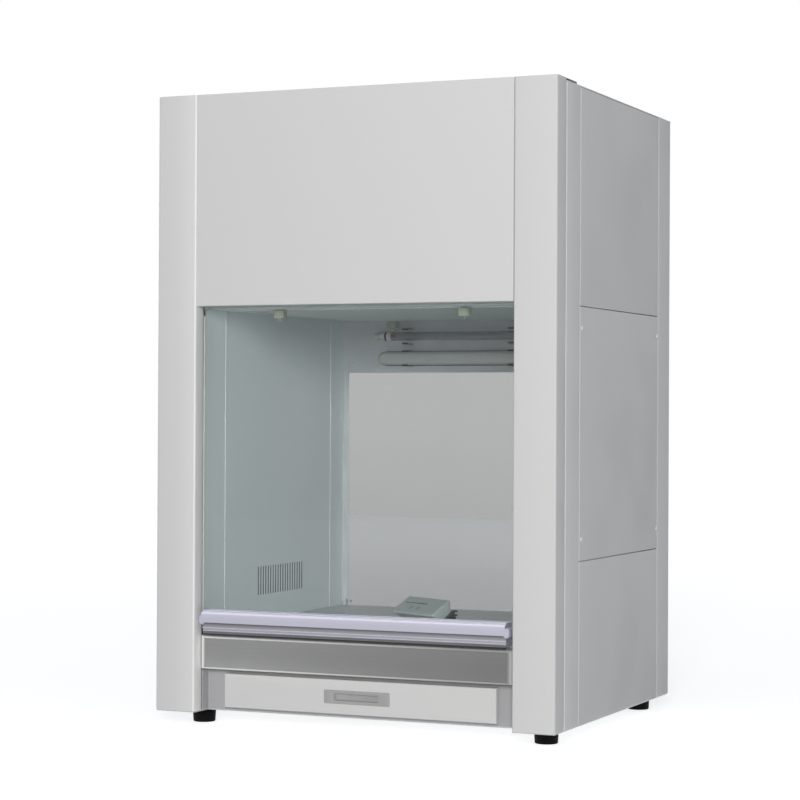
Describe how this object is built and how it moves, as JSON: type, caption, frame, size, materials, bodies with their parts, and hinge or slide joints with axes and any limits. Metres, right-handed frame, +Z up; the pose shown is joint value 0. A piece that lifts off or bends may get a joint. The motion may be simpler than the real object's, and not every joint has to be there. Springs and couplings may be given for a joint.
{
  "type": "laminar flow cabinet",
  "caption": "Bench-top laminar flow cabinet: counterbalanced glass sash, rear window, ceiling filter and blower, stainless worktop, shallow drawer and rubber feet.",
  "frame": {"origin": "on the bench, under the middle of the cabinet", "axes": "+Z up, -Y to the operator at the sash, +X to the operator's right"},
  "size_m": [0.7044, 0.5922, 1.04],
  "materials": {
    "cabinet_paint": "light grey powder coat, semi-matt",
    "chamber_steel": "brushed stainless sheet",
    "galvanised_steel": "galvanised sheet",
    "motor_casting": "dark painted motor",
    "impeller_aluminium": "plain aluminium sheet and profile",
    "filter_paper": "white glass-fibre paper and coarse pad",
    "gasket_foam": "black closed-cell foam",
    "clear_glass": "clear toughened glass with a faint green cast",
    "rail_aluminium": "satin anodised aluminium profile",
    "rail_cap_plastic": "moulded cap in the rail's colour",
    "glide_nylon": "natural nylon",
    "cable_steel": "zinc plated steel",
    "weight_steel": "blackened steel bar",
    "lamp_glass": "quartz tube",
    "lamp_diffuser": "opal lamp cover",
    "white_plastic": "cream moulded plastic",
    "spring_steel_black": "black coated spring steel",
    "box_plastic": "grey moulded plastic",
    "black_plastic": "black moulded plastic",
    "foot_rubber": "black rubber"
  },
  "bodies": {
    "cabinet": {"front_post_left": "cabinet_paint", "front_post_right": "cabinet_paint", "channel_covers": "cabinet_paint", "rear_post_left": "cabinet_paint", "rear_post_right": "cabinet_paint", "side_panel_upper_left": "cabinet_paint", "side_panel_upper_right": "cabinet_paint", "service_panel_left": "cabinet_paint", "service_panel_right": "cabinet_paint", "side_panel_lower_left": "cabinet_paint", "side_panel_lower_right": "cabinet_paint", "side_liner_left": "chamber_steel", "side_liner_right": "chamber_steel", "fascia": "cabinet_paint", "top_cover": "cabinet_paint", "intake_grille": "cabinet_paint", "prefilter": "filter_paper", "fan_deck": "galvanised_steel", "blower_housing": "galvanised_steel", "blower_motor": "motor_casting", "back_panel": "cabinet_paint", "power_inlet": "black_plastic", "rear_liner": "chamber_steel", "rear_window": "clear_glass", "rear_window_frame": "cabinet_paint", "ceiling_frame": "chamber_steel", "diffuser": "chamber_steel", "diffuser_clips": "white_plastic", "filter_gasket": "gasket_foam", "filter_frame": "impeller_aluminium", "filter_media": "filter_paper", "uv_lamp": "lamp_glass", "lampholders": "white_plastic", "work_lamp": "lamp_diffuser", "lamp_clips": "spring_steel_black", "worktop": "chamber_steel", "base_pan": "galvanised_steel", "base_front": "cabinet_paint", "feet": "foot_rubber", "panel_screws": "cable_steel", "sash_tracks": "impeller_aluminium", "pulley_brackets": "cable_steel", "sash_cables": "cable_steel", "control_box": "box_plastic", "control_box_hook": "black_plastic"},
    "sash": {"sash_glass": "clear_glass", "sash_rail": "rail_aluminium", "rail_end_caps": "rail_cap_plastic", "sash_top_bar": "rail_aluminium", "sash_glides": "glide_nylon"},
    "counterweight_left": {"counterweight_left": "weight_steel"},
    "counterweight_right": {"counterweight_right": "weight_steel"},
    "pulley_left": {"pulley_left": "glide_nylon"},
    "pulley_right": {"pulley_right": "glide_nylon"},
    "drawer": {"drawer_front": "cabinet_paint", "drawer_tray": "galvanised_steel", "drawer_pull": "box_plastic"},
    "impeller": {"impeller": "impeller_aluminium"},
    "key_fan": {"key_fan": "box_plastic"},
    "key_lamp": {"key_lamp": "box_plastic"}
  },
  "joints": [
    {"name": "sash_lift", "type": "slide", "parent": "cabinet", "child": "sash", "axis": [0, 0, 1], "range_m": [0, 0.3], "deforming": ["sash_cables"]},
    {"name": "counterweight_left_drop", "type": "slide", "parent": "cabinet", "child": "counterweight_left", "axis": [0, 0, 1], "range_m": [-0.3, 0]},
    {"name": "counterweight_right_drop", "type": "slide", "parent": "cabinet", "child": "counterweight_right", "axis": [0, 0, 1], "range_m": [-0.3, 0]},
    {"name": "pulley_left_turn", "type": "hinge", "parent": "cabinet", "child": "pulley_left", "pos_m": [-0.307, -0.2633, 1.011], "axis": [0, 1, 0], "continuous": true},
    {"name": "pulley_right_turn", "type": "hinge", "parent": "cabinet", "child": "pulley_right", "pos_m": [0.307, -0.2633, 1.011], "axis": [0, 1, 0], "continuous": true},
    {"name": "drawer_slide", "type": "slide", "parent": "cabinet", "child": "drawer", "axis": [0, -1, 0], "range_m": [0, 0.3]},
    {"name": "impeller_spin", "type": "hinge", "parent": "cabinet", "child": "impeller", "pos_m": [0, 0.005, 0.907], "axis": [1, 0, 0], "continuous": true},
    {"name": "key_fan_press", "type": "slide", "parent": "cabinet", "child": "key_fan", "axis": [0.264, 0.4572, -0.8493], "range_m": [0, 0.001], "stiffness_N_per_m": 400},
    {"name": "key_lamp_press", "type": "slide", "parent": "cabinet", "child": "key_lamp", "axis": [0.264, 0.4572, -0.8493], "range_m": [0, 0.001], "stiffness_N_per_m": 400}
  ],
  "couplings": [
    {"joint": "counterweight_left_drop", "follows": "sash_lift", "ratio": -1},
    {"joint": "counterweight_right_drop", "follows": "sash_lift", "ratio": -1},
    {"joint": "pulley_right_turn", "follows": "sash_lift", "rad_per_m": 55.556},
    {"joint": "pulley_left_turn", "follows": "sash_lift", "rad_per_m": -55.556}
  ]
}
